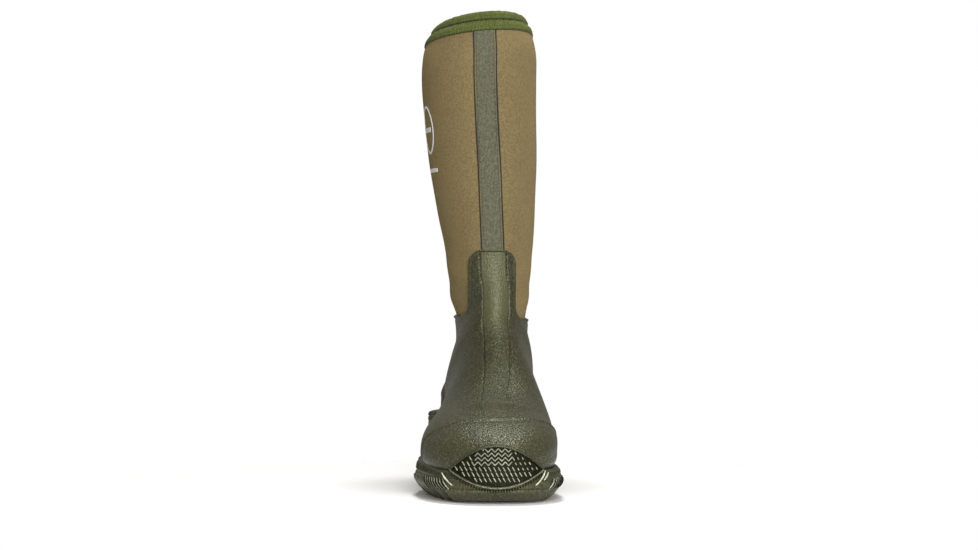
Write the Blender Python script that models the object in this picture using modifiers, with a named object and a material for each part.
"""Insulated pull-on field boot, right foot: neoprene shaft and bootie in a rubber galosh.

Metres, +Z up. The toe points to -Y, the outer (lateral) side is -X. The origin is on the
ground, under the middle of the boot. Every layer of the upper is a loft through the same
sections, grown or shrunk by the layer's distance from the neoprene's outer face.
"""

from math import atan2, cos, pi, radians, sin

import bmesh
import bpy
import numpy as np

# ---- driving dimensions -------------------------------------------------------------

GAP = 0.0003  # between pieces that touch
LOOSE_GAP = 0.0007  # under a strip whose facets don't line up with those below it

# Layers, as distances from the neoprene's outer face; outwards is positive.
NEOPRENE_THICK = 0.0045
PUFF_OUTER = -0.0048
PUFF_THICK = 0.0012
LINING_THICK = 0.0022
FOOT_LINING_OUTER = -0.0063
SHAFT_LINING_OUTER = -0.0048
GALOSH_OUTER = 0.0028
GALOSH_THICK = 0.0025
OVERLAY_INNER = 0.0031
OVERLAY_THICK = 0.0016
STRIPE_THICK = 0.0009
FOOTBED_CLEARANCE = -0.0100
FOOTBED_DROP = 0.0006  # it lies on the lining's floor and is looser at the sides

# Sections of the neoprene's outer face, from the ball of the foot to the mouth:
# front y, front z, back y, back z, centre x, lateral half width, medial half width,
# height of the widest point as a share from back to front, roundness of the front on the
# lateral and medial sides, roundness of the back, ridge shift in x, tilt (rise per metre of x)
SECTIONS = (
    (-0.0630, 0.0725, -0.066, 0.0236, -0.0062, 0.0512, 0.0512, 0.36, 2.2, 2.4, 3.2, 0.005, 0),
    (-0.0420, 0.0815, -0.030, 0.0236, -0.0060, 0.0500, 0.0500, 0.34, 2.0, 2.4, 3.2, 0.007, 0),
    (-0.0230, 0.0945, 0.008, 0.0236, -0.0046, 0.0455, 0.0455, 0.32, 1.9, 2.4, 3.2, 0.008, 0),
    (-0.0080, 0.1100, 0.048, 0.0236, -0.0030, 0.0410, 0.0410, 0.30, 1.9, 2.3, 3.2, 0.007, 0),
    (0.0010, 0.1240, 0.090, 0.0236, -0.0015, 0.0378, 0.0378, 0.30, 1.9, 2.1, 3.2, 0.006, 0),
    (0.0060, 0.1350, 0.124, 0.0250, -0.0005, 0.0364, 0.0364, 0.33, 1.9, 2.0, 3.0, 0.004, 0),
    (0.0085, 0.1430, 0.1425, 0.0370, 0.0000, 0.0360, 0.0360, 0.36, 1.9, 1.9, 2.6, 0.003, 0),
    (0.0100, 0.1500, 0.1480, 0.0600, 0.0018, 0.0336, 0.0336, 0.38, 1.9, 1.9, 2.3, 0.002, 0),
    (0.0112, 0.1580, 0.1455, 0.0900, 0.0026, 0.0284, 0.0284, 0.42, 2.0, 2.0, 2.2, 0.001, 0),
    (0.0120, 0.1680, 0.1400, 0.1200, 0.0026, 0.0290, 0.0290, 0.46, 2.0, 2.0, 2.1, 0.001, 0),
    (0.0125, 0.1800, 0.1385, 0.1470, 0.0008, 0.0338, 0.0338, 0.48, 2.1, 2.1, 2.1, 0.001, 0),
    (0.0120, 0.1950, 0.1405, 0.1750, 0.0002, 0.0358, 0.0358, 0.50, 2.1, 2.1, 2.1, 0.001, 0),
    (0.0105, 0.2120, 0.1445, 0.2030, -0.0004, 0.0384, 0.0384, 0.50, 2.1, 2.1, 2.1, 0.001, 0),
    (0.0075, 0.2350, 0.1490, 0.2320, -0.0025, 0.0420, 0.0420, 0.50, 2.1, 2.1, 2.1, 0.002, 0),
    (0.0040, 0.2700, 0.1545, 0.2680, -0.0050, 0.0456, 0.0456, 0.50, 2.1, 2.1, 2.1, 0.003, 0),
    (0.0015, 0.3100, 0.1560, 0.3060, -0.0072, 0.0474, 0.0474, 0.50, 2.1, 2.1, 2.1, 0.003, 0),
    (0.0000, 0.3450, 0.1555, 0.3370, -0.0086, 0.0494, 0.0494, 0.50, 2.1, 2.1, 2.1, 0.003, 0.02),
    (0.0030, 0.3680, 0.1520, 0.3590, -0.0086, 0.0492, 0.0492, 0.50, 2.1, 2.1, 2.1, 0.003, 0.05),
    (0.0075, 0.3850, 0.1475, 0.3765, -0.0090, 0.0452, 0.0452, 0.50, 2.1, 2.1, 2.1, 0.003, 0.08),
    (0.0090, 0.4000, 0.1440, 0.3900, -0.0082, 0.0368, 0.0368, 0.50, 2.1, 2.0, 2.1, 0.003, 0.09),
)
MOUTH = len(SECTIONS)  # section number of the boot's upper edge
PANEL_TOP = 18.9  # section number where the neoprene ends under the binding
BAND_SPLIT = 19.45  # section number of the groove between the binding's two rolls
RING_POINTS = 24

# The toe closes as a dome in front of the ball section.
TOE_TIP = (-0.1405, 0.0310)  # y, z
TOE_CENTRE_X = 0.0010
TOE_SLOPE = 0.38  # share of the ball's height lost in a straight line towards the tip
TOE_ROUND_WIDTH = 2.12
TOE_ROUND_TOP = 2.6
TOE_ROUND_SOLE = 6.0
TOE_STEPS = 5

# Ankle joint: the shaft turns on the foot about this line along X, and the layers part on
# a cylinder round it.
ANKLE_Y, ANKLE_Z = 0.080, 0.105
ANKLE_RADIUS = 0.092
ANKLE_CUT_Z = 0.145  # below this height everything belongs to the foot
SHAFT_PIECES = (
    "shaft_panel_lateral", "shaft_panel_medial", "shaft_lining", "shin_shield",
    "shield_stripe", "front_stripe", "rear_stripe", "topline_lower_band",
    "topline_upper_roll", "side_badge",
)

# Galosh edge, shin shield and stripes.
GALOSH_TOP_Z = 0.144
SHIELD_HALF_WIDTH = 0.0218
SHIELD_CENTRE_X = 0.0006
SHIELD_TOP_Z = 0.2005
SHIELD_CORNER = 0.012
STRIPE_HALF_WIDTH = 0.0092
SEAM_ANGLE = 0.012  # half the gap between the shaft's two panels, as an angle
RUBBER_STRIPE_HALF_WIDTH = 0.0100

# Toe cap, heel counter and heel ledge.
TOE_CAP_END = 0.81  # section number of the cap's rear edge, on the dome
TOE_CAP_COLUMNS = 8  # columns of the ring that the cap covers, each way from the front
COUNTER_SECTIONS = (6, 10)
COUNTER_COLUMNS = 5  # each way from the back
COUNTER_FRONT_TOP = (0.070, 0.073)  # y, z of the counter's upper edge on the sides
COUNTER_BACK_TOP = (0.150, 0.106)
LEDGE_Z = (0.047, 0.061)
LEDGE_REACH = 0.0068
LEDGE_FRONT_Y = 0.092
LEDGE_WIDENING = 1.08  # it stands further out at the sides than at the back
LEDGE_WALL_INSET = 0.0022  # the galosh's side, measured in from the sole's widest line

# Sole.
SOLE_OUTLINE = (  # x, y of the side wall's widest line
    (0.001, -0.1530), (-0.0225, -0.1483), (-0.0430, -0.1300), (-0.0565, -0.1010),
    (-0.0635, -0.0670), (-0.0645, -0.0400), (-0.0600, -0.0050), (-0.0515, 0.0300),
    (-0.0455, 0.0650), (-0.0445, 0.1000), (-0.0385, 0.1300), (-0.0220, 0.1485),
    (-0.001, 0.1530), (0.0205, 0.1485), (0.0368, 0.1300), (0.0418, 0.1000),
    (0.0415, 0.0650), (0.0418, 0.0300), (0.0460, -0.0050), (0.0510, -0.0400),
    (0.0532, -0.0700), (0.0512, -0.1010), (0.0425, -0.1300), (0.0235, -0.1483),
)
SOLE_POINTS = 56
WALL_PROFILE = (  # z, inset of the outsole's outer wall
    (0.0055, 0.0078), (0.0090, 0.0028), (0.0135, 0.0), (0.0195, 0.0010),
)
LUG_DEPTH = 0.0058
LUG_LENGTH, LUG_WIDTH = 0.021, 0.0085
LUG_INSET = 0.0065  # of a lug's outer end
EDGE_LUGS = 38
CENTRE_LUG_PITCH = 0.021
CENTRE_LUG = (0.030, 0.0075)  # length across, width along
CENTRE_LUG_SPAN = (-0.108, 0.125)  # first and last y
CENTRE_LUG_SKEW = 0.45  # how far a chevron's halves slant
LEAST_LUG_ROOM = 0.012
TOE_SPRING = 0.0035
TOE_SPRING_START_Y = -0.095
TOE_SPRING_TOP_Z = 0.0125  # the spring fades out between the ground and this height
FOXING_Z = (0.0198, 0.0310)
FOXING_INSET = (0.0012, 0.0026)  # of its outer face, at the bottom and top
FOXING_CORE_INSET = 0.0125
MIDSOLE_Z = (0.0100, 0.0184)
MIDSOLE_INSET = 0.0098
BOARD_Z = (0.0187, 0.0205)
BOARD_INSET = 0.0135
SHANK_BOX = ((-0.0105, -0.020, 0.0160), (0.0055, 0.110, 0.0181))
FOOTBED_TOP_Z = 0.0384
FOOTBED_COVER_THICK = 0.0012
FOOTBED_FRONT_Y = -0.126

# Toe bumper: an eye-shaped plate, standing in a recess of the outsole's wall.
BUMPER_HALF_WIDTH = 0.0378
BUMPER_CENTRE_X = -0.0015
BUMPER_TIP_Z = 0.0266
BUMPER_TOP_Z, BUMPER_BOTTOM_Z = 0.0468, 0.0126
BUMPER_THICK = 0.0016
BUMPER_INSET = 0.0012  # of its outer face from the widest line of the sole
BUMPER_LEAN, BUMPER_CURL = 0.10, 3.0  # backward lean per metre, and per square metre

# Binding: its rolls stand this far out of the neoprene's face, and are squarish inside.
ROLL_OUTER = 0.0012
ROLL_COVER = 0.0006  # inside the lining's face
ROLL_GAP = 0.012  # between the rolls, in section numbers
ROLL_SQUARENESS = 0.55  # 1 is an ellipse
ROLL_POINTS = 10

# Badge on the shaft's outer side.
BADGE_CENTRE = (0.058, 0.302)  # y, z
BADGE_RADII = (0.017, 0.021)
BADGE_THICK = 0.0006
BADGE_SECTIONS = (14.6, 17.2)
BADGE_ANGLES = (radians(50), radians(130))

# The sections above are drawn about the heel's centre line. This moves the boot's box onto
# the origin.
BOX_CENTRE_SHIFT = (0.0058, -0.0026, 0.0)

# Colours: linear RGB, roughness.
COLOURS = {
    "black_rubber": ((0.030, 0.031, 0.022), 0.62),
    "moss_rubber": ((0.082, 0.080, 0.055), 0.55),
    "brown_neoprene": ((0.230, 0.172, 0.083), 0.95),
    "grey_tape": ((0.150, 0.150, 0.105), 0.85),
    "green_knit": ((0.110, 0.165, 0.050), 0.9),
    "black_lining": ((0.025, 0.025, 0.025), 0.95),
    "grey_foam": ((0.090, 0.090, 0.085), 0.9),
    "fibreboard": ((0.320, 0.230, 0.130), 0.9),
    "steel": ((0.450, 0.450, 0.450), 0.35),
    "white_print": ((0.750, 0.750, 0.720), 0.6),
}

# ---- scene, collections and materials -------------------------------------------------


def new_collection(name, hidden=False):
    collection = bpy.data.collections.new(name)
    collection.hide_render = hidden
    bpy.context.scene.collection.children.link(collection)
    return collection


def new_material(name):
    colour, roughness = COLOURS[name]
    material = bpy.data.materials.new(name)
    material.use_nodes = True
    shader = material.node_tree.nodes["Principled BSDF"]
    shader.inputs["Base Color"].default_value = (*colour, 1.0)
    shader.inputs["Roughness"].default_value = roughness
    shader.inputs["Metallic"].default_value = 1.0 if name == "steel" else 0.0
    return material


for old in list(bpy.data.objects):
    bpy.data.objects.remove(old)
PARTS = new_collection("field_boot")
CUTTERS = new_collection("cutters", hidden=True)
MATERIALS = {name: new_material(name) for name in COLOURS}


def add_object(name, mesh, material=None, origin=None):
    """A part in its material, or a hidden cutter when it has none. Its origin can be moved."""
    obj = bpy.data.objects.new(name, mesh)
    if material is None:
        CUTTERS.objects.link(obj)
        obj.hide_render = True
        obj.display_type = "WIRE"
        return obj
    PARTS.objects.link(obj)
    mesh.materials.append(MATERIALS[material])
    mesh.shade_smooth()
    mesh.set_sharp_from_angle(angle=radians(35))
    if origin is not None:
        obj.location = origin
        for vertex in mesh.vertices:
            vertex.co -= obj.location
    return obj


def solidify(obj, thickness, offset=1.0):
    modifier = obj.modifiers.new("thickness", "SOLIDIFY")
    modifier.thickness = thickness
    modifier.offset = offset


def boolean(obj, cutter, operation="DIFFERENCE"):
    modifier = obj.modifiers.new(operation.lower(), "BOOLEAN")
    modifier.operation = operation
    modifier.object = cutter


# ---- the boot's sections ----------------------------------------------------------------


def smooth_row(rows, position):
    """The row of numbers at a fractional position, on a smooth curve through the rows."""
    last = len(rows) - 1
    index = min(int(position), last - 1)
    t = position - index
    before, start, end, after = (
        np.asarray(rows[min(max(index + shift, 0), last)], float) for shift in (-1, 0, 1, 2)
    )
    return (
        start * (1 + t * t * (2 * t - 3))
        + end * t * t * (3 - 2 * t)
        + (end - before) / 2 * t * (1 - t) ** 2
        - (after - start) / 2 * t * t * (1 - t)
    )


def body_section(number, offset):
    """Front point, back point and the other values of a section, grown by the offset."""
    row = smooth_row(SECTIONS, number - 1)
    front, back = row[0:2].copy(), row[2:4].copy()
    along = (front - back) / np.linalg.norm(front - back)
    row[5:7] += offset
    return front + along * offset, back - along * offset, row[4:]


def section(number, offset):
    """As body_section, and numbers from 0 at the toe's tip to 1 at the ball are on the dome."""
    if number >= 1:
        return body_section(number, offset)
    front, back, rest = body_section(1, offset)
    u = cos(number * pi / 2)
    tip_y, tip_z = TOE_TIP[0] - offset, TOE_TIP[1]
    top = (1 - u**TOE_ROUND_TOP) ** (1 / TOE_ROUND_TOP) * (1 - TOE_SLOPE * u)
    sole = (1 - u**TOE_ROUND_SOLE) ** (1 / TOE_ROUND_SOLE)
    width = (1 - u**TOE_ROUND_WIDTH) ** (1 / TOE_ROUND_WIDTH)
    front = np.array((front[0] + (tip_y - front[0]) * u, tip_z + (front[1] - tip_z) * top))
    back = np.array((back[0] + (tip_y - back[0]) * u, tip_z + (back[1] - tip_z) * sole))
    rest = rest.copy()
    rest[0] += (TOE_CENTRE_X - rest[0]) * u**1.5
    rest[1:3] *= width
    return front, back, rest


def section_point(values, angle):
    """A point on the section: angle 0 is the front, pi the back, pi/2 the lateral side."""
    front, back, (centre_x, lateral, medial, widest, round_lat, round_med, round_back,
                  ridge, tilt) = values
    c, s = cos(angle), sin(angle)
    roundness = round_back if c < 0 else (round_lat if s > 0 else round_med)
    reach = (abs(c) ** roundness + abs(s) ** roundness) ** (-1 / roundness)
    middle = back + (front - back) * widest
    end = front if c > 0 else back
    y, z = middle + (end - middle) * reach * abs(c)
    half_width = lateral if s > 0 else medial
    x = centre_x - half_width * reach * s + ridge * max(c * reach, 0) ** 1.2
    return (x, y, z + tilt * (x - centre_x))


def ring(number, offset, angles):
    values = section(number, offset)
    return [section_point(values, angle) for angle in angles]


def full_turn(count=RING_POINTS):
    return [2 * pi * i / count for i in range(count)]


def span(start, end, count):
    return [start + (end - start) * i / (count - 1) for i in range(count)]


DOME = span(0, 1, TOE_STEPS + 1)
FOOT_ROWS = DOME[1:] + [2, 3, 4, 5, 6, 6.5, 7, 7.5, 8, 9, 10, 11, 12, 13]
SHAFT_ROWS = [9, 10, 11, 12, 13, 14, 15, 16, 17, 18, PANEL_TOP]

# ---- mesh makers ------------------------------------------------------------------------


def mesh_from(name, points, faces, fix_normals=True):
    mesh = bpy.data.meshes.new(name)
    bm = bmesh.new()
    verts = [bm.verts.new(point) for point in points]
    for face in faces:
        bm.faces.new([verts[i] for i in face])
    if fix_normals:
        bmesh.ops.recalc_face_normals(bm, faces=bm.faces)
    bm.to_mesh(mesh)
    bm.free()
    return mesh


def strip_faces(start_a, start_b, count, closed=True, turned=False):
    """Triangles between two rings of points that start at these indices.

    Layers that lie on each other take the same diagonals, so their facets stay parallel. A
    layer's inner face runs from the top down, so its diagonals are turned.
    """
    faces = []
    for i in range(count if closed else count - 1):
        j = (i + 1) % count
        if turned:
            faces.append((start_a + i, start_a + j, start_b + i))
            faces.append((start_a + j, start_b + j, start_b + i))
        else:
            faces.append((start_a + i, start_a + j, start_b + j))
            faces.append((start_a + i, start_b + j, start_b + i))
    return faces


def ring_stack(name, rings, tips=(None, None), loop=False, outer_rings=None):
    """A closed solid through equal rings: each end is a tip point, a flat cap, or joined up.

    The rings after the first outer_rings belong to the inner face.
    """
    count = len(rings[0])
    points = [point for one in rings for point in one]
    starts = [count * i for i in range(len(rings))]
    faces = []
    for i, (a, b) in enumerate(zip(starts, starts[1:])):
        faces += strip_faces(a, b, count, turned=outer_rings is not None and i >= outer_rings)
    if loop:
        return mesh_from(name, points, faces + strip_faces(starts[-1], 0, count))
    for start, tip in ((0, tips[0]), (starts[-1], tips[1])):
        if tip is None:
            faces.append(tuple(range(start, start + count)))
            continue
        points.append(tip)
        faces += [
            (start + i, start + (i + 1) % count, len(points) - 1) for i in range(count)
        ]
    return mesh_from(name, points, faces)


def toe_tip(offset):
    front, _, rest = section(0, offset)
    return (rest[0], front[0], front[1])


def boot_solid(name, offset, rows):
    """The whole space inside a layer's face, closed at the toe and cut flat at the top."""
    angles = full_turn()
    return ring_stack(name, [ring(s, offset, angles) for s in rows], (toe_tip(offset), None))


def sock_shell(name, outer, thick, rows):
    """A layer that is closed at the toe and open at the top; outer is a function of the row."""
    angles = full_turn()
    rings = [ring(s, outer(s), angles) for s in rows]
    rings += [ring(s, outer(s) - thick, angles) for s in reversed(rows)]
    tips = (toe_tip(outer(0)), toe_tip(outer(0) - thick))
    return ring_stack(name, rings, tips, outer_rings=len(rows))


def tube_shell(name, outer, thick, rows):
    """A layer that is open at both ends; outer is a function of the row."""
    angles = full_turn()
    rings = [ring(s, outer(s), angles) for s in rows]
    rings += [ring(s, outer(s) - thick, angles) for s in reversed(rows)]
    return ring_stack(name, rings, loop=True, outer_rings=len(rows))


def columns(centre, reach):
    """The angles of the ring's columns, this many each way from a column."""
    return [2 * pi * (centre + i) / RING_POINTS for i in range(-reach, reach + 1)]


def patch_shell(name, outer, thick, rows, angles, tip=False):
    """A layer over part of the way round; with tip it closes over the toe's tip."""
    count = len(angles)
    points = []
    for depth in (outer, outer - thick):
        for s in rows:
            points += ring(s, depth, angles)
    inner = count * len(rows)
    faces = []
    for i in range(len(rows) - 1):
        faces += strip_faces(i * count, (i + 1) * count, count, closed=False)
        faces += strip_faces(inner + i * count, inner + (i + 1) * count, count, closed=False)
    last = (len(rows) - 1) * count
    faces += strip_faces(last, inner + last, count, closed=False)
    for column in (0, count - 1):
        for i in range(len(rows) - 1):
            a, b = i * count + column, (i + 1) * count + column
            faces.append((a, b, inner + b, inner + a))
    if not tip:
        faces += strip_faces(0, inner, count, closed=False)
        return mesh_from(name, points, faces)
    outer_tip, inner_tip = len(points), len(points) + 1
    points += [toe_tip(outer), toe_tip(outer - thick)]
    for i in range(count - 1):
        faces.append((i, i + 1, outer_tip))
        faces.append((inner + i, inner + i + 1, inner_tip))
    for column in (0, count - 1):
        faces.append((column, inner + column, inner_tip, outer_tip))
    return mesh_from(name, points, faces)


def overlay_surface(name, offset, rows, angles_at):
    """An open sheet on a layer's face; angles_at gives each row's angles. Faces look outwards."""
    count = len(angles_at(rows[0]))
    points = []
    for s in rows:
        points += ring(s, offset, angles_at(s))
    faces = []
    for i in range(len(rows) - 1):
        faces += strip_faces(i * count, (i + 1) * count, count, closed=False)
    return mesh_from(name, points, [face[::-1] for face in faces], fix_normals=False)


def outline_cutter(name, outline, axis, low, high):
    """A closed outline, extruded along X, Y or Z from low to high."""
    curve = bpy.data.curves.new(name, "CURVE")
    curve.dimensions = "2D"
    curve.fill_mode = "BOTH"
    curve.extrude = (high - low) / 2
    spline = curve.splines.new("POLY")
    spline.points.add(len(outline) - 1)
    for point, (a, b) in zip(spline.points, outline):
        point.co = (a, b, 0, 1)
    spline.use_cyclic_u = True
    guide = bpy.data.objects.new(name, curve)
    CUTTERS.objects.link(guide)
    graph = bpy.context.evaluated_depsgraph_get()
    mesh = bpy.data.meshes.new_from_object(guide.evaluated_get(graph))
    bpy.data.objects.remove(guide)
    bm = bmesh.new()
    bm.from_mesh(mesh)
    bmesh.ops.remove_doubles(bm, verts=bm.verts, dist=1e-6)
    middle = (low + high) / 2
    places = {
        "X": lambda v: (v.z + middle, v.x, v.y),
        "Y": lambda v: (v.x, v.z + middle, v.y),
        "Z": lambda v: (v.x, v.y, v.z + middle),
    }
    for vertex in bm.verts:
        vertex.co = places[axis](vertex.co.copy())
    bmesh.ops.recalc_face_normals(bm, faces=bm.faces)
    bm.to_mesh(mesh)
    bm.free()
    return mesh


def box_mesh(name, low, high):
    mesh = bpy.data.meshes.new(name)
    bm = bmesh.new()
    bmesh.ops.create_cube(bm, size=1)
    for vertex in bm.verts:
        for axis in range(3):
            middle, size = (low[axis] + high[axis]) / 2, high[axis] - low[axis]
            vertex.co[axis] = middle + vertex.co[axis] * size
    bm.to_mesh(mesh)
    bm.free()
    return mesh


def smooth_outline(corners, count):
    """Points on a smooth closed curve through the corners."""
    looped = list(corners[-2:]) + list(corners) + list(corners[:2])
    return np.array(
        [smooth_row(looped, 2 + len(corners) * i / count) for i in range(count)]
    )


def inset_outline(points, inset):
    """The closed outline moved inwards."""
    ahead, behind = np.roll(points, -1, axis=0), np.roll(points, 1, axis=0)
    along = ahead - behind
    along /= np.linalg.norm(along, axis=1)[:, None]
    sideways = np.stack((-along[:, 1], along[:, 0]), axis=1)
    centre = points.mean(axis=0)
    inward = np.sign(((centre - points) * sideways).sum())
    return points + sideways * inward * inset


SOLE = smooth_outline(SOLE_OUTLINE, SOLE_POINTS)


def sole_ring(z, inset):
    return [(x, y, z) for x, y in inset_outline(SOLE, inset)]


def arc(centre_y, centre_z, radius, start, end, count):
    return [
        (centre_y + radius * cos(a), centre_z + radius * sin(a))
        for a in span(start, end, count)
    ]


# ---- cutters ----------------------------------------------------------------------------


def above_ankle(name, radius):
    """The space above the ankle's cylinder and its cut height: the shaft's side of the joint."""
    rise = np.arcsin((ANKLE_CUT_Z - ANKLE_Z) / radius)
    outline = arc(ANKLE_Y, ANKLE_Z, radius, pi - rise, rise, 64)
    far = 0.3
    outline += [(far, ANKLE_CUT_Z), (far, 2 * far), (-far, 2 * far), (-far, ANKLE_CUT_Z)]
    return add_object(name, outline_cutter(name, outline, "X", -0.1, 0.1))


def shield_outline(grow):
    """x, z outline of the shield: square below, round corners above."""
    left = SHIELD_CENTRE_X - SHIELD_HALF_WIDTH - grow
    right = SHIELD_CENTRE_X + SHIELD_HALF_WIDTH + grow
    top, corner = SHIELD_TOP_Z + grow, SHIELD_CORNER + grow
    outline = [(left, GALOSH_TOP_Z - 0.02), (right, GALOSH_TOP_Z - 0.02)]
    outline += arc(right - corner, top - corner, corner, 0, pi / 2, 7)
    outline += arc(left + corner, top - corner, corner, pi / 2, pi, 7)
    return outline


def galosh_space():
    """Everything below the galosh's edge, and the shield's outline above it."""
    name = "galosh_space"
    tab = outline_cutter("tab", shield_outline(0), "Y", -0.05, 0.07)
    below = box_mesh("below", (-0.1, -0.2, 0), (0.1, 0.2, GALOSH_TOP_Z))
    tab_object = add_object("galosh_tab", tab)
    space = add_object(name, below)
    boolean(space, tab_object, "UNION")
    return space


ABOVE_FOOT = above_ankle("above_foot", ANKLE_RADIUS - GAP / 2)
ABOVE_SHAFT = above_ankle("above_shaft", ANKLE_RADIUS + GAP / 2)
ENVELOPE_ROWS = [row for row in FOOT_ROWS if row <= 11]
RUBBER_FACE = add_object(
    "rubber_face", boot_solid("rubber_face", OVERLAY_INNER, ENVELOPE_ROWS)
)

# ---- upper, foot ------------------------------------------------------------------------


def foot_lining_outer(number):
    """The lining lies deeper in the foot, where the puff and stiffener need room."""
    share = min(max((number - 9.0) / 2.0, 0.0), 1.0)
    return FOOT_LINING_OUTER + (SHAFT_LINING_OUTER - FOOT_LINING_OUTER) * share


def make_galosh():
    shell = sock_shell("galosh", lambda s: GALOSH_OUTER, GALOSH_THICK, FOOT_ROWS)
    galosh = add_object("galosh", shell, "moss_rubber")
    boolean(galosh, galosh_space(), "INTERSECT")
    boolean(galosh, ABOVE_FOOT)


def make_foot_bootie():
    shell = sock_shell("foot_bootie", lambda s: 0.0, NEOPRENE_THICK, FOOT_ROWS)
    boolean(add_object("foot_bootie", shell, "brown_neoprene"), ABOVE_FOOT)


def make_foot_lining():
    shell = sock_shell("foot_lining", foot_lining_outer, LINING_THICK, FOOT_ROWS)
    boolean(add_object("foot_lining", shell, "black_lining"), ABOVE_FOOT)


def make_toe_puff():
    rows = [row for row in FOOT_ROWS if row < 0.9]
    shell = patch_shell(
        "toe_puff", PUFF_OUTER, PUFF_THICK, rows, columns(0, TOE_CAP_COLUMNS), tip=True
    )
    add_object("toe_puff", shell, "fibreboard")


def make_heel_stiffener():
    rows = [row for row in FOOT_ROWS if 6 <= row <= 9]
    angles = columns(RING_POINTS // 2, COUNTER_COLUMNS)
    shell = patch_shell("heel_stiffener", PUFF_OUTER, PUFF_THICK, rows, angles)
    add_object("heel_stiffener", shell, "fibreboard")


def make_toe_cap():
    rows = [row for row in FOOT_ROWS if row <= TOE_CAP_END]
    outer = OVERLAY_INNER + OVERLAY_THICK
    angles = columns(0, TOE_CAP_COLUMNS)
    shell = patch_shell("toe_cap", outer, OVERLAY_THICK, rows, angles, tip=True)
    cap = add_object("toe_cap", shell, "moss_rubber")
    floor = FOXING_Z[1] + GAP
    below = box_mesh("below_cap", (-0.1, -0.2, 0), (0.1, 0, floor))
    boolean(cap, add_object("below_cap", below))


def make_heel_counter():
    angles = columns(RING_POINTS // 2, COUNTER_COLUMNS)
    rows = [row for row in FOOT_ROWS if COUNTER_SECTIONS[0] <= row <= COUNTER_SECTIONS[1]]
    top = OVERLAY_INNER + OVERLAY_THICK
    counter = add_object(
        "heel_counter",
        patch_shell("heel_counter", top, OVERLAY_THICK, rows, angles),
        "moss_rubber",
    )
    low = FOXING_Z[1] + GAP
    outline = [(COUNTER_FRONT_TOP[0], low), (0.2, low), (0.2, COUNTER_BACK_TOP[1])]
    outline += [COUNTER_BACK_TOP, (0.125, 0.101), (0.098, 0.085), COUNTER_FRONT_TOP]
    cutter = outline_cutter("counter_side", outline, "X", -0.1, 0.1)
    boolean(counter, add_object("counter_side", cutter), "INTERSECT")


def make_heel_kick_ledge():
    """A horseshoe bar round the heel, cut to the counter's face."""
    outline = inset_outline(SOLE, LEDGE_WALL_INSET - LEDGE_REACH)
    heel = [(x * LEDGE_WIDENING, y) for x, y in outline if y > LEDGE_FRONT_Y]
    heel.sort(key=lambda p: atan2(p[1] - LEDGE_FRONT_Y, p[0]))
    heel = [(heel[0][0], LEDGE_FRONT_Y)] + heel + [(heel[-1][0], LEDGE_FRONT_Y)]
    ledge = add_object(
        "heel_kick_ledge",
        outline_cutter("heel_kick_ledge", heel, "Z", *LEDGE_Z),
        "moss_rubber",
    )
    face = OVERLAY_INNER + OVERLAY_THICK + GAP
    boolean(ledge, add_object("counter_face", boot_solid("counter_face", face, ENVELOPE_ROWS)))


def stripe_angles(half_width, centre_x, offset, count=5):
    """For each section, the angles of a stripe of constant width down the front."""

    def angles_at(number):
        _, _, rest = section(number, offset)
        ridge_x = rest[0] + rest[7]
        found = []
        for t in span(-1, 1, count):
            x = centre_x(number) + half_width * t - ridge_x
            found.append(np.arcsin(-x / (rest[2] if x > 0 else rest[1])))
        return found[::-1]

    return angles_at


def front_line_x(number):
    """x of the boot's front line: on the ridge of each section."""
    _, _, rest = section(number, 0)
    return rest[0] + rest[7]


def make_instep_stripe():
    rows = [row for row in FOOT_ROWS if 1 <= row <= 11]
    under = GALOSH_OUTER + LOOSE_GAP
    angles_at = stripe_angles(RUBBER_STRIPE_HALF_WIDTH, front_line_x, under)
    sheet = overlay_surface("instep_stripe", under, rows, angles_at)
    stripe = add_object("instep_stripe", sheet, "moss_rubber")
    solidify(stripe, STRIPE_THICK)
    boolean(stripe, ABOVE_FOOT)


# ---- upper, shaft -----------------------------------------------------------------------


def make_shaft_panels():
    for name, start in (("shaft_panel_lateral", 0), ("shaft_panel_medial", pi)):
        angles = span(start + SEAM_ANGLE, start + pi - SEAM_ANGLE, RING_POINTS // 2 + 1)
        shell = patch_shell(name, 0.0, NEOPRENE_THICK, SHAFT_ROWS, angles)
        panel = add_object(name, shell, "brown_neoprene")
        boolean(panel, ABOVE_SHAFT, "INTERSECT")


def make_shaft_lining():
    shell = tube_shell("shaft_lining", lambda s: SHAFT_LINING_OUTER, LINING_THICK, SHAFT_ROWS)
    boolean(add_object("shaft_lining", shell, "black_lining"), ABOVE_SHAFT, "INTERSECT")


def make_shin_shield():
    rows = [row for row in SHAFT_ROWS if row <= 14]
    margin = 0.003  # trimmed off by the outline
    angles_at = stripe_angles(
        SHIELD_HALF_WIDTH + margin, lambda s: SHIELD_CENTRE_X, LOOSE_GAP, 9
    )
    sheet = overlay_surface("shin_shield", LOOSE_GAP, rows, angles_at)
    shield = add_object("shin_shield", sheet, "moss_rubber")
    solidify(shield, GALOSH_OUTER - LOOSE_GAP)
    outline = outline_cutter("shield_outline", shield_outline(0), "Y", -0.05, 0.07)
    boolean(shield, add_object("shield_outline", outline), "INTERSECT")
    boolean(shield, ABOVE_SHAFT, "INTERSECT")


def make_shield_stripe():
    rows = [row for row in SHAFT_ROWS if row <= 13]
    under = GALOSH_OUTER + LOOSE_GAP
    angles_at = stripe_angles(RUBBER_STRIPE_HALF_WIDTH, front_line_x, under)
    sheet = overlay_surface("shield_stripe", under, rows, angles_at)
    stripe = add_object("shield_stripe", sheet, "moss_rubber")
    solidify(stripe, STRIPE_THICK)
    top = box_mesh("below_shield_top", (-0.1, -0.1, 0.1), (0.1, 0.1, SHIELD_TOP_Z - 0.002))
    boolean(stripe, add_object("below_shield_top", top), "INTERSECT")
    boolean(stripe, ABOVE_SHAFT, "INTERSECT")


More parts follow.
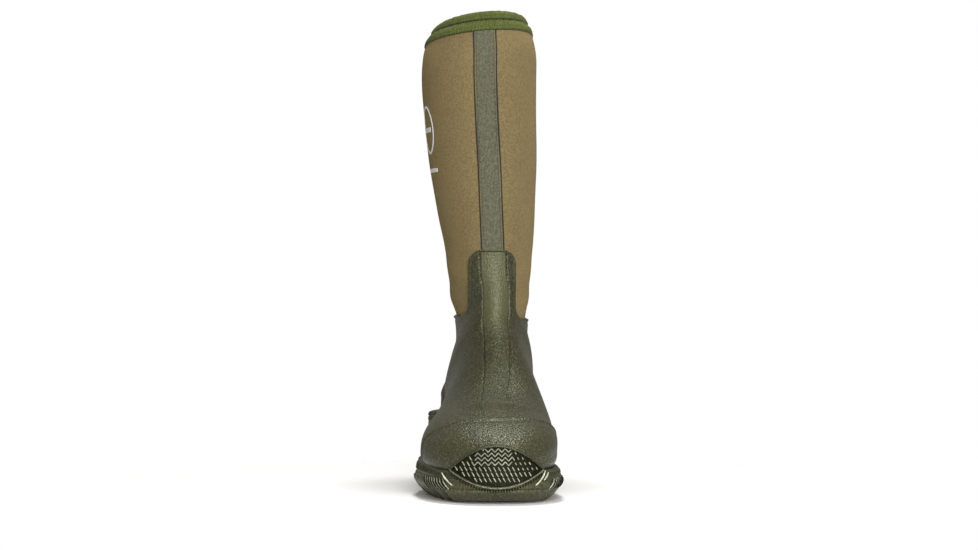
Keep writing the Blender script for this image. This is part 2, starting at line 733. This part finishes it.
def make_front_stripe():
    rows = [row for row in SHAFT_ROWS if row >= 11]
    angles_at = stripe_angles(STRIPE_HALF_WIDTH, front_line_x, GAP)
    sheet = overlay_surface("front_stripe", GAP, rows, angles_at)
    stripe = add_object("front_stripe", sheet, "grey_tape")
    solidify(stripe, STRIPE_THICK)
    low = SHIELD_TOP_Z + GAP
    space = box_mesh("above_shield", (-0.1, -0.1, low), (0.1, 0.1, 0.5))
    boolean(stripe, add_object("above_shield", space), "INTERSECT")


def make_rear_stripe():
    rows = [row for row in SHAFT_ROWS if row >= 10]

    def angles_at(number):
        _, _, rest = section(number, GAP)
        return [pi + np.arcsin(STRIPE_HALF_WIDTH * t / rest[1]) for t in span(-1, 1, 5)]

    sheet = overlay_surface("rear_stripe", GAP, rows, angles_at)
    stripe = add_object("rear_stripe", sheet, "grey_tape")
    solidify(stripe, STRIPE_THICK)
    boolean(stripe, ABOVE_SHAFT, "INTERSECT")


def make_binding():
    """Two puffed rolls round the mouth, one above the other."""
    rolls = (
        ("topline_lower_band", PANEL_TOP + 3 * ROLL_GAP, BAND_SPLIT - ROLL_GAP),
        ("topline_upper_roll", BAND_SPLIT + ROLL_GAP, MOUTH),
    )
    inner = SHAFT_LINING_OUTER - LINING_THICK - ROLL_COVER
    for name, low, high in rolls:
        middle, half = (low + high) / 2, (high - low) / 2
        depth, half_depth = (ROLL_OUTER + inner) / 2, (ROLL_OUTER - inner) / 2
        rings = []
        for turn in full_turn(ROLL_POINTS):
            across = np.sign(cos(turn)) * abs(cos(turn)) ** ROLL_SQUARENESS
            upward = np.sign(sin(turn)) * abs(sin(turn)) ** ROLL_SQUARENESS
            row = middle + half * upward
            rings.append(ring(row, depth + half_depth * across, full_turn()))
        add_object(name, ring_stack(name, rings, loop=True), "green_knit")


def make_side_badge():
    rows = span(*BADGE_SECTIONS, 9)
    angles = span(*BADGE_ANGLES, 11)
    sheet = overlay_surface("side_badge", GAP, rows, lambda s: angles)
    badge = add_object("side_badge", sheet, "white_print")
    solidify(badge, BADGE_THICK)
    (y, z), (ry, rz) = BADGE_CENTRE, BADGE_RADII
    outline = [(y + ry * cos(a), z + rz * sin(a)) for a in full_turn(24)]
    cutter = outline_cutter("badge_outline", outline, "X", -0.1, 0)
    boolean(badge, add_object("badge_outline", cutter), "INTERSECT")


# ---- sole -------------------------------------------------------------------------------


def lug_mesh(name, centre, along, length, width, low, high):
    """One tread block: a box, its top a little wider than its foot."""
    mesh = box_mesh(name, (-length / 2, -width / 2, low), (length / 2, width / 2, high))
    angle = atan2(along[1], along[0])
    for vertex in mesh.vertices:
        spread = 1.0 if vertex.co.z > (low + high) / 2 else 0.82
        x, y = vertex.co.x * spread, vertex.co.y * spread
        vertex.co.x = centre[0] + x * cos(angle) - y * sin(angle)
        vertex.co.y = centre[1] + x * sin(angle) + y * cos(angle)
    return mesh


def edge_lugs():
    """Lugs round the edge, pointing inwards."""
    outline = smooth_outline(SOLE_OUTLINE, EDGE_LUGS)
    outer = inset_outline(outline, LUG_INSET)
    inner = inset_outline(outline, LUG_INSET + LUG_LENGTH)
    return [((a + b) / 2, a - b, LUG_LENGTH, LUG_WIDTH) for a, b in zip(outer, inner)]


def centre_lugs():
    """Chevron halves down the middle."""
    found = []
    y = CENTRE_LUG_SPAN[0]
    while y < CENTRE_LUG_SPAN[1]:
        inside = SOLE[np.abs(SOLE[:, 1] - y).argsort()[:2]]
        middle = inside[:, 0].mean()
        room = abs(inside[0, 0] - inside[1, 0]) - 2 * (LUG_INSET + LUG_LENGTH)
        if room > LEAST_LUG_ROOM:
            for side in (-1, 1):
                length = min(room / 2, CENTRE_LUG[0] / 2)
                centre = (middle + side * length / 2, y + length * CENTRE_LUG_SKEW / 2)
                found.append((centre, (1.0, side * CENTRE_LUG_SKEW), length, CENTRE_LUG[1]))
        y += CENTRE_LUG_PITCH
    return found


def spring_toe(mesh):
    """Lifts the underside towards the toe's tip."""
    reach = TOE_SPRING_START_Y - SOLE[:, 1].min()
    for vertex in mesh.vertices:
        forward = max(TOE_SPRING_START_Y - vertex.co.y, 0) / reach
        fade = max(1 - vertex.co.z / TOE_SPRING_TOP_Z, 0)
        vertex.co.z += TOE_SPRING * forward * forward * fade


def make_outsole(bumper_recess):
    wall = [sole_ring(z, inset) for z, inset in WALL_PROFILE]
    outsole = add_object("outsole", ring_stack("outsole", wall), "black_rubber")
    lugs = bpy.data.collections.new("lugs")
    CUTTERS.children.link(lugs)
    for i, (centre, along, length, width) in enumerate(edge_lugs() + centre_lugs()):
        name = f"lug_{i:02d}"
        lug = bpy.data.objects.new(
            name, lug_mesh(name, centre, along, length, width, 0, LUG_DEPTH + 0.001)
        )
        spring_toe(lug.data)
        lug.hide_render = True
        lug.display_type = "WIRE"
        lugs.objects.link(lug)
    spring_toe(outsole.data)
    union = outsole.modifiers.new("lugs", "BOOLEAN")
    union.operation = "UNION"
    union.operand_type = "COLLECTION"
    union.collection = lugs
    room = [sole_ring(z, MIDSOLE_INSET - GAP) for z in (MIDSOLE_Z[0] - GAP, 0.03)]
    boolean(outsole, add_object("midsole_room", ring_stack("midsole_room", room)))
    boolean(outsole, bumper_recess)


def make_foxing_band(bumper_recess):
    rings = [
        sole_ring(z, inset) for z, inset in zip(FOXING_Z, FOXING_INSET)
    ]
    band = add_object("foxing_band", ring_stack("foxing_band", rings), "black_rubber")
    core = [sole_ring(z, FOXING_CORE_INSET) for z in (0.0, FOXING_Z[0] + 0.006)]
    boolean(band, add_object("foxing_core", ring_stack("foxing_core", core)))
    boolean(band, RUBBER_FACE)
    boolean(band, bumper_recess)


def make_midsole():
    rings = [sole_ring(z, MIDSOLE_INSET) for z in MIDSOLE_Z]
    midsole = add_object("midsole", ring_stack("midsole", rings), "grey_foam")
    low, high = (np.array(corner) for corner in SHANK_BOX)
    slot = box_mesh("shank_slot", low - GAP, (*(high[:2] + GAP), MIDSOLE_Z[1] + 0.002))
    boolean(midsole, add_object("shank_slot", slot))


def make_shank():
    shank = add_object("shank", box_mesh("shank", *SHANK_BOX), "steel")
    bevel = shank.modifiers.new("edges", "BEVEL")
    bevel.width = 0.0005
    bevel.segments = 2


def make_insole_board():
    rings = [sole_ring(z, BOARD_INSET) for z in BOARD_Z]
    add_object("insole_board", ring_stack("insole_board", rings), "fibreboard")


def make_footbed():
    """A tray of foam that fills the floor of the lining, with a fabric top."""
    layers = (
        ("footbed_foam", "grey_foam", 0.02, FOOTBED_TOP_Z),
        ("footbed_cover", "black_lining", FOOTBED_TOP_Z + GAP,
         FOOTBED_TOP_Z + GAP + FOOTBED_COVER_THICK),
    )
    hinge = (0.0, FOOTBED_FRONT_Y, FOOTBED_TOP_Z)
    pivot = bpy.data.objects.new("footbed_pivot", None)
    pivot.location = hinge
    PARTS.objects.link(pivot)
    for name, material, low, high in layers:
        body = boot_solid(name, FOOTBED_CLEARANCE, ENVELOPE_ROWS)
        for vertex in body.vertices:
            vertex.co.z -= FOOTBED_DROP
        layer = add_object(name, body, material, origin=hinge)
        layer.parent = pivot
        layer.matrix_parent_inverse = pivot.matrix_world.inverted()
        layer.location = (0, 0, 0)
        slab = box_mesh(name + "_slab", (-0.1, FOOTBED_FRONT_Y, low), (0.1, 0.2, high))
        boolean(layer, add_object(name + "_slab", slab), "INTERSECT")


# ---- toe bumper -------------------------------------------------------------------------


def bumper_outline(grow):
    """x, z outline: two arcs that meet in a tip on each side."""
    half = BUMPER_HALF_WIDTH + grow
    outline = []
    for end_z, direction in ((BUMPER_TOP_Z + grow, 1), (BUMPER_BOTTOM_Z - grow, -1)):
        rise = end_z - BUMPER_TIP_Z
        for t in span(-direction, direction, 15)[:-1]:
            outline.append((BUMPER_CENTRE_X + half * t, BUMPER_TIP_Z + rise * (1 - t * t)))
    return outline


def bumper_front_y(x, z):
    """The bumper's outer face: the sole's outline at the toe, leaning back as it rises."""
    toe = SOLE[SOLE[:, 1] < -0.10]
    toe = toe[toe[:, 0].argsort()]
    rise = z - BUMPER_BOTTOM_Z
    lean = BUMPER_LEAN * rise + BUMPER_CURL * rise * rise
    return np.interp(x, toe[:, 0], toe[:, 1]) + BUMPER_INSET + max(lean, 0)


def bumper_sheet(name, depth):
    """An open sheet that follows the bumper's face, this far behind it. It faces forwards."""
    xs = [BUMPER_CENTRE_X + (BUMPER_HALF_WIDTH + 0.004) * t for t in span(-1, 1, 13)]
    zs = span(BUMPER_BOTTOM_Z - 0.003, BUMPER_TOP_Z + 0.003, 6)
    points = [(x, bumper_front_y(x, z) + depth, z) for z in zs for x in xs]
    faces = []
    for i in range(len(zs) - 1):
        faces += strip_faces(i * len(xs), (i + 1) * len(xs), len(xs), closed=False)
    return mesh_from(name, points, faces, fix_normals=False)


def make_toe_bumper():
    bumper = add_object("toe_bumper", bumper_sheet("toe_bumper", BUMPER_THICK), "moss_rubber")
    solidify(bumper, BUMPER_THICK)
    outline = outline_cutter("bumper_eye", bumper_outline(0), "Y", -0.2, -0.09)
    boolean(bumper, add_object("bumper_eye", outline), "INTERSECT")


def make_bumper_recess():
    """The space that the bumper stands in, open to the front."""
    depth = BUMPER_THICK + GAP + 0.012
    recess = add_object("bumper_recess", bumper_sheet("bumper_recess", BUMPER_THICK + GAP))
    solidify(recess, depth)
    outline = outline_cutter("recess_eye", bumper_outline(GAP), "Y", -0.2, -0.09)
    boolean(recess, add_object("recess_eye", outline), "INTERSECT")
    return recess


# ---- build ------------------------------------------------------------------------------


def hang_shaft():
    """Puts the pieces that turn at the ankle on one empty on its axis."""
    pivot = bpy.data.objects.new("ankle_pivot", None)
    pivot.location = (0.0, ANKLE_Y, ANKLE_Z)
    PARTS.objects.link(pivot)
    bpy.context.view_layer.update()
    for name in SHAFT_PIECES:
        piece = bpy.data.objects[name]
        piece.parent = pivot
        piece.matrix_parent_inverse = pivot.matrix_world.inverted()


def centre_on_ground():
    """Hangs everything on one empty, so that the boot's box is centred on the origin."""
    loose = [obj for obj in bpy.data.objects if obj.parent is None]
    frame = bpy.data.objects.new("boot_frame", None)
    PARTS.objects.link(frame)
    frame.location = BOX_CENTRE_SHIFT
    for obj in loose:
        obj.parent = frame


make_galosh()
make_foot_bootie()
make_foot_lining()
make_toe_puff()
make_heel_stiffener()
make_toe_cap()
make_heel_counter()
make_heel_kick_ledge()
make_instep_stripe()
make_shaft_panels()
make_shaft_lining()
make_shin_shield()
make_shield_stripe()
make_front_stripe()
make_rear_stripe()
make_binding()
make_side_badge()
RECESS = make_bumper_recess()
make_toe_bumper()
make_outsole(RECESS)
make_foxing_band(RECESS)
make_midsole()
make_shank()
make_insole_board()
make_footbed()
hang_shaft()
centre_on_ground()
